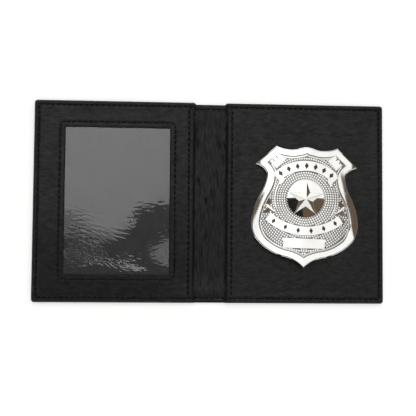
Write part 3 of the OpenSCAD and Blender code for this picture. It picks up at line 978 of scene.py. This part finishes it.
def fill_loop(piece, loop, radius, spacing):
    """Fills a loop on the bend with even triangles."""
    low, high = loop.min(0), loop.max(0)
    inner = []
    for k, y in enumerate(np.arange(low[1], high[1], spacing * ROW_SHARE)):
        inner += [(x + (k % 2) * spacing / 2, y) for x in np.arange(low[0], high[0], spacing)]
    inner = np.array(inner)
    inner = inner[inside(inner, loop)]
    if len(inner):
        inner = inner[clearance(inner, loop) > spacing * MARGIN_SHARE]
    flat = np.concatenate([loop, inner.reshape(-1, 2)])
    made = delaunay_2d_cdt([Vector(p) for p in flat], [], [list(range(len(loop)))], 1, 1e-7)
    points = np.array([p[:] for p in made[0]])
    piece.add(bent(points, radius), made[2])


shield_outline = outline(shield_shares)
field_outline = outline(field_shares)

# Section of the rim: millimetres in from the outline, and depth under its crown
EDGE_SECTION = [
    (0, 0.75), (0.04, 0.62), (0.28, 0.6), (0.34, 0.5), (0.44, 0.2), (0.54, 0.04), (0.66, 0), (0.74, 0)]
# Across the rim's crown: shares of the way from the outline to the field
CROWN_SHARES = [0.3, 0.45, 0.6, 0.75, 0.86]
# From just outside the field's edge on into it: a fine line, then a narrow border that stands up
BORDER_SECTION = [
    (-0.3, 0), (-0.2, 0), (-0.12, 0.03), (0.1, 0.22), (0.3, 0.36), (0.38, 0.36), (0.62, 0.24),
    (0.7, 0.2), (1.1, 0.2), (1.2, 0.22), (1.3, 0.3), (1.35, 0.55)]
BORDER_END, BORDER_DEPTH = BORDER_SECTION[-1]
field_loop = inset(field_outline, BORDER_END)


def show_badge(piece, name, node, **finish):
    """A polished piece of the badge."""
    show(piece.build(name, badge_chrome, "badge_metal", **finish), "badge_side", node)


def make_shield():
    shield = Piece()
    rows = [bent(shield_outline, BACK_R)]
    for distance, depth in EDGE_SECTION:
        rows.append(bent(inset(shield_outline, distance), BEND_R - depth))
    for share in CROWN_SHARES:
        rows.append(bent(shield_outline + share * (field_outline - shield_outline), BEND_R))
    for distance, depth in BORDER_SECTION:
        rows.append(bent(inset(field_outline, distance), BEND_R - depth))
    shield.add_grid(np.array(rows), wrap=True)
    fill_loop(shield, shield_outline, BACK_R, FLAT_FILL)
    fill_loop(shield, field_loop, BEND_R - BORDER_DEPTH, FIELD_FILL)
    show_badge(shield, "shield_body", "badge_shield", sharp=28)


# Ribbons, plates and curls on the field

def band(centre_y, inner, outer, start, end, steps=36):
    """Outline of a band between two arcs; angles from the upright, clockwise."""
    angles = np.radians(np.linspace(start, end, steps))
    ring = np.stack([np.sin(angles), np.cos(angles)], -1)
    ends = [(0, centre_y) + outer * ring, (0, centre_y) + inner * ring[::-1]]
    return np.concatenate(ends)


# The raised shapes reach down into the field
FOOT_R = FIELD_R - 0.35
# Steps up a rounded edge: shares of the bevel inward, and down from the top
BEVEL_STEPS = [(0, 1), (0.3, 0.35), (1, 0)]


def relief(piece, loop, top, bevel, spacing=RELIEF_FILL):
    """A raised shape with a rounded edge, standing on the field."""
    foot = bent(loop, FOOT_R)
    rows = [bent(inset(loop, bevel * inward), top - bevel * down) for inward, down in BEVEL_STEPS]
    piece.add_grid(np.array([foot, *rows]), wrap=True)
    piece.add_polygon(foot)
    fill_loop(piece, inset(loop, bevel), top, spacing)


RIBBON_BEVEL = 0.22
UPPER = dict(centre_y=-0.08 * BADGE_H, inner=0.311 * BADGE_H, outer=0.399 * BADGE_H)
LOWER = dict(centre_y=0.22 * BADGE_H, inner=0.446 * BADGE_H, outer=0.525 * BADGE_H)
UPPER_ANGLE = 46.0
LOWER_ANGLE = 40.0
upper_ribbon = band(start=-UPPER_ANGLE, end=UPPER_ANGLE, **UPPER)
lower_ribbon = band(start=180 - LOWER_ANGLE, end=180 + LOWER_ANGLE, **LOWER)
PLATE_Y = -0.368 * BADGE_H
PLATE_W = 0.38 * BADGE_H
PLATE_H = 0.086 * BADGE_H
PLATE_WAIST_X = PLATE_W / 2 - 1.2
PLATE_FOOT_X = PLATE_W / 2 - 0.4


def dense(corners, step=0.8):
    """A clockwise polygon with points added along its straight edges."""
    corners = [np.array(c, float) for c in corners]
    out = []
    for a, b in zip(corners, corners[1:] + corners[:1]):
        count = max(1, int(np.linalg.norm(b - a) / step))
        out += [a + (b - a) * i / count for i in range(count)]
    return np.array(out)


plate_top, plate_foot = PLATE_Y + PLATE_H / 2, PLATE_Y - PLATE_H / 2
number_plate = dense([
    (-PLATE_W / 2, plate_top), (PLATE_W / 2, plate_top), (PLATE_WAIST_X, PLATE_Y),
    (PLATE_FOOT_X, plate_foot), (-PLATE_FOOT_X, plate_foot), (-PLATE_WAIST_X, PLATE_Y)])
wing_corners = [(11.6, 22.0), (16.3, 25.6), (21.2, 20.6), (17.3, 16.6)]


def pair(loop):
    """The loop, and its mirror image on the other side."""
    return [loop, (loop * (-1, 1))[::-1]]


wing_plates = pair(dense(wing_corners))


def ellipse(middle, long, short, degrees, count=20):
    """Clockwise ellipse."""
    a = np.radians(np.linspace(0, -360, count, endpoint=False))
    turn = math.radians(degrees)
    x, y = long * np.cos(a), short * np.sin(a)
    across = middle[0] + x * math.cos(turn) - y * math.sin(turn)
    up = middle[1] + x * math.sin(turn) + y * math.cos(turn)
    return np.stack([across, up], -1)


# Etched leaves in a row along the outer edge of the right wing plate
leaf_places = [(17.1, 22.9), (18.8, 21.2), (20.5, 19.5)]
wing_leaves = []
for place in leaf_places:
    wing_leaves += pair(ellipse(place, 0.85, 0.36, 45, 10))
upper_curls = [ellipse((side * 13.9, 9.6), 2.5, 1.35, -52 * side) for side in (-1, 1)]
# Folded tails of the lower ribbon, on the left: a crossing bar, a hook, and facets that lean away
TAIL_STEP = 0.5
tail_bar = dense([
    (-22.9, -3.9), (-21.5, -3.2), (-20.2, -4.7), (-15.7, -8.6), (-18.4, -7.3), (-21.0, -5.6)], TAIL_STEP)
tail_hook = dense([
    (-24.3, -2.3), (-23.8, -2.3), (-23.6, -4.1), (-22.3, -4.5), (-22.5, -5.0), (-24.3, -4.4)], TAIL_STEP)
tail_facets = pair(dense([(-21.9, -3.3), (-20.6, 0.1), (-19.0, -3.0), (-20.3, -4.5)], TAIL_STEP))
tail_facets += pair(dense([(-23.6, -8.6), (-20.8, -6.0), (-17.8, -8.0), (-20.3, -7.9)], TAIL_STEP))
# Fall of each facet to the right and downward, which turns it to the dark side of the room
FACET_FALL = (0.07, 0.13)
# Tops of the lower shapes: wing plates and tails, curls, side arcs and leaves
WING_R = RELIEF_R - 0.05
CURL_R = RELIEF_R - 0.1
ARC_R = RELIEF_R - 0.08
LEAF_R = RELIEF_R - 0.02
TAIL_BEVEL = 0.12
CURL_BEVEL = 0.3
ARC_BEVEL = 0.15
LEAF_BEVEL = 0.02
# Two fine arcs beside the seal: inner and outer radius, and angles from the upright
ARC_RADII = (17.1, 17.8)
ARC_ANGLES = (72, 122)
ARC_FILL = 0.6


def leaning_facet(piece, loop):
    """A flat facet whose top leans."""
    middle = loop.mean(0)
    height = bent(middle, WING_R)[2]
    top = on_badge(loop[:, 0], loop[:, 1], height - (loop - middle) @ (FACET_FALL[0], -FACET_FALL[1]))
    piece.add_tube([bent(loop, FOOT_R), top])


def make_ribbons():
    ribbons = Piece()
    for loop in (upper_ribbon, lower_ribbon, number_plate):
        relief(ribbons, loop, RELIEF_R, RIBBON_BEVEL)
    for loop in wing_plates:
        relief(ribbons, loop, WING_R, RIBBON_BEVEL)
    for loop in upper_curls:
        relief(ribbons, loop, CURL_R, CURL_BEVEL, SMALL_FILL)
    for loop in pair(tail_bar) + pair(tail_hook):
        relief(ribbons, loop, WING_R, TAIL_BEVEL, SMALL_FILL)
    for loop in tail_facets:
        leaning_facet(ribbons, loop)
    for side in (0, 180):
        arc = band(0, *ARC_RADII, side + ARC_ANGLES[0], side + ARC_ANGLES[1])
        relief(ribbons, arc, ARC_R, ARC_BEVEL, ARC_FILL)
    show_badge(ribbons, "shield_ribbons", "badge_shield", sharp=25)


SEAL_R = 11.1
PEBBLE_R = 0.75
PEBBLE_H = 0.2
PEBBLE_ROW = 1.33
PEBBLE_STEP = 1.36
PEBBLE_FIRST = SEAL_R + 0.85
PEBBLE_LAST = 46.0
PEBBLE_FOOT_R = FIELD_R - 0.05
PEBBLE_SIDES = 8
# Section of a pebble from its foot up, in shares of its radius and height
PEBBLE_SECTION = [(1, -0.8), (0.99, 0.05), (0.72, 0.5), (0.38, 0.88)]


def make_pebbles():
    """Small domes in rings round the seal, wherever the field is bare."""
    shapes = [upper_ribbon, lower_ribbon, number_plate, *wing_plates, *upper_curls]
    shapes += pair(tail_bar) + pair(tail_hook) + tail_facets
    middles = []
    for row, radius in enumerate(np.arange(PEBBLE_FIRST, PEBBLE_LAST, PEBBLE_ROW)):
        count = int(2 * math.pi * radius / PEBBLE_STEP)
        a = (np.arange(count) + 0.5 * (row % 2)) * 2 * math.pi / count
        middles.append(np.stack([radius * np.sin(a), radius * np.cos(a)], -1))
    middles = np.concatenate(middles)
    middles = middles[inside(middles, field_loop)]
    for shape in shapes:
        middles = middles[~inside(middles, shape)]
    turns = np.linspace(0, 2 * math.pi, PEBBLE_SIDES, endpoint=False)
    circle = PEBBLE_R * np.stack([np.cos(turns), np.sin(turns)], -1)
    pebbles = Piece()
    for middle in middles:
        rings = []
        for share, height in PEBBLE_SECTION:
            rings.append(bent(middle + share * circle, PEBBLE_FOOT_R + PEBBLE_H * height))
        pebbles.add_tube(rings)
    show_badge(pebbles, "shield_pebbles", "badge_shield", sharp=60)


GROUND_GAP = 0.02
GROUND_TOP_R = FIELD_R + 0.02
GROUND_LOW_R = FIELD_R - 0.2


def make_field():
    """The matt parts: the sunk ground between the pebbles, and the leaves on the wing plates."""
    ground = Piece()
    loop = inset(field_outline, BORDER_END + GROUND_GAP)
    ground.add_grid(np.array([bent(loop, GROUND_LOW_R), bent(loop, GROUND_TOP_R)]), wrap=True)
    fill_loop(ground, loop, GROUND_TOP_R, FIELD_FILL)
    fill_loop(ground, loop, GROUND_LOW_R, FLAT_FILL)
    for leaf in wing_leaves:
        relief(ground, leaf, LEAF_R, LEAF_BEVEL, FINE_FILL)
    show(ground.build("shield_ground", field_chrome, "badge_metal"), "badge_side", "badge_shield")


# Seal and star

SEAL_EDGE = 10.75
SEAL_TEETH = 52
TOOTH_POINTS = 6
TOOTH_H = 0.4
TOOTH_REACH = 0.5
# Width of the fine line round the face, its depth, and the depth of the teeth's floor
LINE_W = 0.08
LINE_DEPTH = 0.15
TEETH_DEPTH = 0.05
DOME_H = 0.322
DOME_POWER = 3
SEAL_LEAN = 0.05
SEAL_RAISE = 0.478
seal_z = bend_z + FIELD_R + 0.1
seal_foot_z = bend_z + FIELD_R - 0.8


def dome_z(x, y):
    """Height of the domed face, which steepens outward and leans a little to its lower edge."""
    share = np.minimum(np.hypot(x, y) / SEAL_EDGE, 1)
    return seal_z + SEAL_RAISE + DOME_H * (1 - share**DOME_POWER) + SEAL_LEAN * y


def make_seal():
    """A domed disc with a toothed border."""
    turns = np.linspace(0, 2 * math.pi, SEAL_TEETH * TOOTH_POINTS, endpoint=False)
    sin, cos = np.sin(turns), np.cos(turns)
    tooth = np.clip(0.5 + 0.9 * np.cos(turns * SEAL_TEETH), 0, 1)
    face = SEAL_EDGE - TOOTH_REACH * tooth
    rim_z = seal_z + SEAL_RAISE + SEAL_LEAN * SEAL_R * cos
    # Across the face, then over the teeth from the inside outward, and down to the foot
    rows = [(r * face, dome_z(r * face * sin, r * face * cos)) for r in np.linspace(0.04, 1, 24)]
    rows.append((face + 0.03, rim_z - LINE_DEPTH))
    teeth = [(face + LINE_W, 0), (face + 2 * LINE_W, 1), (SEAL_R - 0.1, 1), (SEAL_R - 0.03, 0.6)]
    for radius, height in (*teeth, (SEAL_R, 0)):
        rows.append((radius, rim_z - TEETH_DEPTH + TOOTH_H * height * tooth))
    rows.append((SEAL_R, np.full_like(turns, seal_foot_z)))
    seal = Piece()
    seal.add_tube([on_badge(radius * sin, radius * cos, z) for radius, z in rows])
    show_badge(seal, "seal_disc", "badge_seal", sharp=50)


STAR_R = 10.4
STAR_INNER = 4.3
STAR_APEX = 12.35
STAR_SINK = 0.6
TIP_LIFT = 0.1
NOTCH_LIFT = 0.02
# Tips and notches together
STAR_CORNERS = 10


def make_star():
    """Facets from the apex to the star's outline, which lies on the dome."""
    corners = []
    for i in range(STAR_CORNERS):
        radius, lift = (STAR_INNER, NOTCH_LIFT) if i % 2 else (STAR_R, TIP_LIFT)
        a = 2 * math.pi * i / STAR_CORNERS
        x, y = radius * math.sin(a), radius * math.cos(a)
        corners.append(on_badge(x, y, float(dome_z(x, y)) + lift))
    foot = [corner - (0, 0, STAR_SINK) for corner in corners]
    following = [(i, (i + 1) % STAR_CORNERS) for i in range(STAR_CORNERS)]
    faces = [(2 * STAR_CORNERS, i, k) for i, k in following]
    faces += [(i, STAR_CORNERS + i, STAR_CORNERS + k, k) for i, k in following]
    faces.append(range(2 * STAR_CORNERS - 1, STAR_CORNERS - 1, -1))
    star = Piece()
    star.add(np.array([*corners, *foot, on_badge(0.0, 0.0, STAR_APEX)]), faces)
    show_badge(star, "seal_star", "badge_star", sharp=3, bevel=0.16)


# The whole wallet


def dress_cad_nodes():
    """Materials for the CAD nodes that keep their own shape."""
    finishes = [
        (board, "badge_board", "window_board"), (lining_leather, "badge_lining", "window_lining"),
        (pin_chrome, "pin_hinge_bracket", "pin_rivet", "catch_housing", "catch_collar"),
        (needle_steel, "pin_needle"), (enamel, "badge_enamel")]
    for material, *names in finishes:
        for name in names:
            materials = frame["nodes"][name].data.materials
            materials.clear()
            materials.append(material)


make_badge_panel()
make_pin_loop()
make_window_panel()
make_cover(1, "badge")
make_cover(-1, "window")
for bend in range(5):
    make_fold_cover(bend)
    make_fold_lining(bend)
    make_fold_stitching(bend)
make_half_stitching(1, "badge")
make_half_stitching(-1, "window")
make_window_seam()
make_film()
make_shield()
make_field()
make_ribbons()
make_pebbles()
make_seal()
make_star()
dress_cad_nodes()


# Floor, light and camera

FLOOR_HALF = 3000.0
FLOOR_Z = -0.05
FLOOR_GLOW = 0.42


def flat_sheet(name, corners, material):
    """One polygon of the surroundings."""
    mesh = bpy.data.meshes.new(name)
    mesh.from_pydata((np.array(corners, float) * MM).tolist(), [], [range(len(corners))])
    mesh.materials.append(material)
    return linked(name, mesh)


def make_floor():
    """A white floor, brighter where it is seen directly or in gloss."""
    look = Look("floor", (0.86, 0.86, 0.86), 0.9)
    path = look.add("LightPath", {}).outputs
    seen = look.math("MAXIMUM", path["Is Camera Ray"], path["Is Glossy Ray"])
    glow = look.add("Emission", {"Strength": look.math("MULTIPLY", seen, FLOOR_GLOW)})
    surface = look.add("AddShader", {0: look.shader.outputs["BSDF"], 1: glow.outputs["Emission"]})
    look.feed(look.nodes["Material Output"].inputs["Surface"], surface.outputs["Shader"])
    signs = [(-1, -1), (1, -1), (1, 1), (-1, 1)]
    corners = [(x * FLOOR_HALF, y * FLOOR_HALF, FLOOR_Z) for x, y in signs]
    floor = flat_sheet("floor", corners, look.material)


# Rays lower than this count as this high
LOWEST_RAY = 0.02


class Sky(Graph):
    """Light by direction, from the slopes X over Z and Y over Z of each ray."""

    def __init__(self):
        world = bpy.data.worlds.new("studio")
        world.use_nodes = True
        bpy.context.scene.world = world
        super().__init__(world.node_tree)
        ray = self.add("TexCoord", {}).outputs["Generated"]
        x, y, self.z = self.add("SeparateXYZ", {0: ray}).outputs
        height = self.math("MAXIMUM", self.z, LOWEST_RAY)
        self.x = self.math("DIVIDE", x, height)
        self.y = self.math("DIVIDE", y, height)

    def outside(self, value):
        return self.math("SUBTRACT", 1.0, value)

    def step(self, value, edge, soft):
        """Zero well below the edge, one well above it."""
        inputs = {"Value": value, "From Min": edge - soft / 2, "From Max": edge + soft / 2}
        return self.add("MapRange", inputs, interpolation_type="SMOOTHSTEP").outputs["Result"]

    def between(self, value, low, high, soft):
        below = self.outside(self.step(value, high, soft))
        return self.math("MULTIPLY", self.step(value, low, soft), below)

    def box(self, x_range, y_range, soft):
        """One inside a rectangle, zero outside it."""
        across = self.between(self.x, *x_range, soft)
        return self.math("MULTIPLY", across, self.between(self.y, *y_range, soft))

    def ellipse(self, middle, half, soft):
        """One inside an ellipse, zero outside it."""
        x = self.math("DIVIDE", self.math("SUBTRACT", self.x, middle[0]), half[0])
        y = self.math("DIVIDE", self.math("SUBTRACT", self.y, middle[1]), half[1])
        square = self.math("ADD", self.math("MULTIPLY", x, x), self.math("MULTIPLY", y, y))
        return self.outside(self.step(self.math("SQRT", square), 1.0, soft))

    def mix(self, factor, below, above):
        return self.add("MixRGB", {0: factor, 1: below, 2: above}).outputs[0]


TENT = (1.3, 1.3, 1.285, 1)
TENT_MIDDLE = (2.1, 2.1, 2.09, 1)
LOW_SIDE = (1.12, 1.12, 1.1, 1)
ROOM = (0.16, 0.145, 0.135, 1)
BLACK = (0.02, 0.02, 0.02, 1)
BROWN = (0.16, 0.112, 0.082, 1)
# Middle and half width of each dark patch
PATCHES = [((0.18, -0.42), 0.05), ((0.6, -0.16), 0.06), ((-0.19, -0.135), 0.04)]


def room_color(sky):
    """A bright tent with a dark room beyond it."""
    middle = sky.ellipse((-0.12, 0.36), (0.32, 0.38), 0.9)
    low_side = sky.outside(sky.step(sky.y, -0.03, 0.02))
    color = sky.mix(low_side, sky.mix(middle, TENT, TENT_MIDDLE), LOW_SIDE)
    color = sky.mix(sky.ellipse((0.2, 0.15), (1.15, 1.05), 0.15), ROOM, color)
    # Dark half disc below the middle, black on the left and brown on the right
    disc = sky.ellipse((0.19, -0.01), (0.27, 0.3), 0.05)
    disc = sky.math("MULTIPLY", disc, sky.outside(sky.step(sky.y, -0.022, 0.008)))
    color = sky.mix(disc, color, sky.mix(sky.step(sky.x, 0.158, 0.02), BLACK, BROWN))
    # Brown low down beyond slanting edges to the left and right, and high on both sides
    left = sky.step(sky.math("SUBTRACT", sky.math("MULTIPLY", sky.y, 6.68), sky.x), 1.03, 0.015)
    left = sky.math("MULTIPLY", left, sky.box((-1.5, 0), (-0.1, 0.1), 0.005))
    right = sky.step(sky.math("ADD", sky.math("MULTIPLY", sky.y, 3.27), sky.x), 1.025, 0.015)
    right = sky.math("MULTIPLY", right, sky.box((0, 1.5), (-0.1, 0.108), 0.008))
    high_left = sky.box((-1.6, -0.46), (0.1, 0.5), 0.05)
    high_right = sky.box((0.9, 1.6), (0.08, 0.5), 0.04)
    low, high = sky.math("MAXIMUM", left, right), sky.math("MAXIMUM", high_left, high_right)
    color = sky.mix(sky.math("MAXIMUM", low, high), color, BROWN)
    # Small dark patches that only the star's ridges mirror
    for place, half in PATCHES:
        color = sky.mix(sky.ellipse(place, (half, half), 0.4), color, BLACK)
    return color


def make_sky():
    """The room, and plain white instead where it is seen directly, or low down in gloss and glass."""
    sky = Sky()
    room = sky.nodes["Background"]
    sky.feed(room.inputs["Color"], room_color(sky))
    white = sky.add("Background", {"Color": (1, 1, 1, 1)})
    path = sky.add("LightPath", {}).outputs
    near_floor = sky.outside(sky.step(sky.z, 0.22, 0.1))
    shiny = sky.math("MAXIMUM", path["Is Glossy Ray"], path["Is Transmission Ray"])
    plain = sky.math("MAXIMUM", path["Is Camera Ray"], sky.math("MULTIPLY", shiny, near_floor))
    shades = {"Fac": plain, 1: room.outputs["Background"], 2: white.outputs["Background"]}
    surface = sky.add("MixShader", shades).outputs["Shader"]
    sky.feed(sky.nodes["World Output"].inputs["Surface"], surface)


# Cards over the window, seen only in gloss: painted dark and bright reflections in the film. Corners of
# each sheet
CARD_Z = 80.0
CARD_EDGE = [
    (-112, -20), (-96, -18.5), (-79, -18), (-66, -21.5), (-56.5, -19), (-51, -15), (-44.5, -11.5),
    (-42.5, -8), (-46.5, -3.6), (-44, -0.6), (-37.5, 2.4), (-30, 3.8), (-17, 3.8), (-17, -58),
    (-112, -58)]
CARD_SHADE = [
    (-112, -2), (-98, -2), (-86, -1), (-79, -4), (-75, -11), (-66, -14), (-57, -16), (-56.5, -19),
    (-66, -21.5), (-79, -18), (-96, -18.5), (-112, -20)]
CARD_PATCH = [(-17, -14), (-27.4, -22.1), (-33.8, -26.7), (-34.4, -29.3), (-28.5, -34.4), (-17, -40)]
CARD_SHINE = [(-112, -25), (-78, -27.5), (-60, -30.5), (-62, -31.5), (-80, -31), (-112, -29.5)]
CARD_STREAK = [
    (-87.8, -33), (-78.8, -34.2), (-66, -33.4), (-54.4, -34.6), (-36.3, -37.7), (-35.6, -39),
    (-43.4, -39.4), (-53.1, -37.8), (-66, -35), (-78.8, -35.5)]


def make_card(name, corners, z, glow):
    """A card over the window that only gloss shows, glowing though it is no lamp: a painted reflection,
    dark or bright, mirrored in the film.
    """
    look = Look(name, (0.02, 0.017, 0.015), 1.0, specular=0.0)
    look.put("Emission Color", (1, 1, 1, 1))
    look.put("Emission Strength", glow)
    card = flat_sheet(name, [(x, y, z) for x, y in corners], look.material)
    card.visible_camera = False
    card.visible_diffuse = False
    card.visible_shadow = False


# Camera: 72 mm lens, 472 mm above a point near the wallet's middle, tilted slightly
LENS = 72.0
SENSOR = 36.0
CAMERA_TARGET = (-0.95, -3.05, 0.0)
CAMERA_DISTANCE = 471.6
CAMERA_TILT = math.radians(3.35)
CAMERA_SWING = math.radians(-3.65)
CAMERA_ROLL = math.radians(0.69)


def make_camera():
    data = bpy.data.cameras.new("camera")
    data.lens = LENS
    data.sensor_width = SENSOR
    data.clip_end = 20
    camera = linked("camera", data)
    turn = (Matrix.Rotation(CAMERA_TILT, 4, "X") @ Matrix.Rotation(CAMERA_SWING, 4, "Y")
            @ Matrix.Rotation(CAMERA_ROLL, 4, "Z"))
    target = Matrix.Translation(Vector(CAMERA_TARGET) * MM)
    camera.matrix_world = target @ turn @ Matrix.Translation((0, 0, CAMERA_DISTANCE * MM))
    bpy.context.scene.camera = camera


make_floor()
make_sky()
# Painted reflections: sheets that only gloss shows, each with its own glow, mirrored dark or bright in
# the film
make_card("card", CARD_EDGE, CARD_Z, 0.3)
make_card("card_shade", CARD_SHADE, CARD_Z, 1.05)
make_card("card_patch", CARD_PATCH, CARD_Z - 1, 1.3)
make_card("card_streak", CARD_STREAK, CARD_Z - 1, 2.2)
make_card("card_shine", CARD_SHINE, CARD_Z - 1, 0.8)
make_camera()
bpy.context.scene.view_settings.view_transform = "Standard"
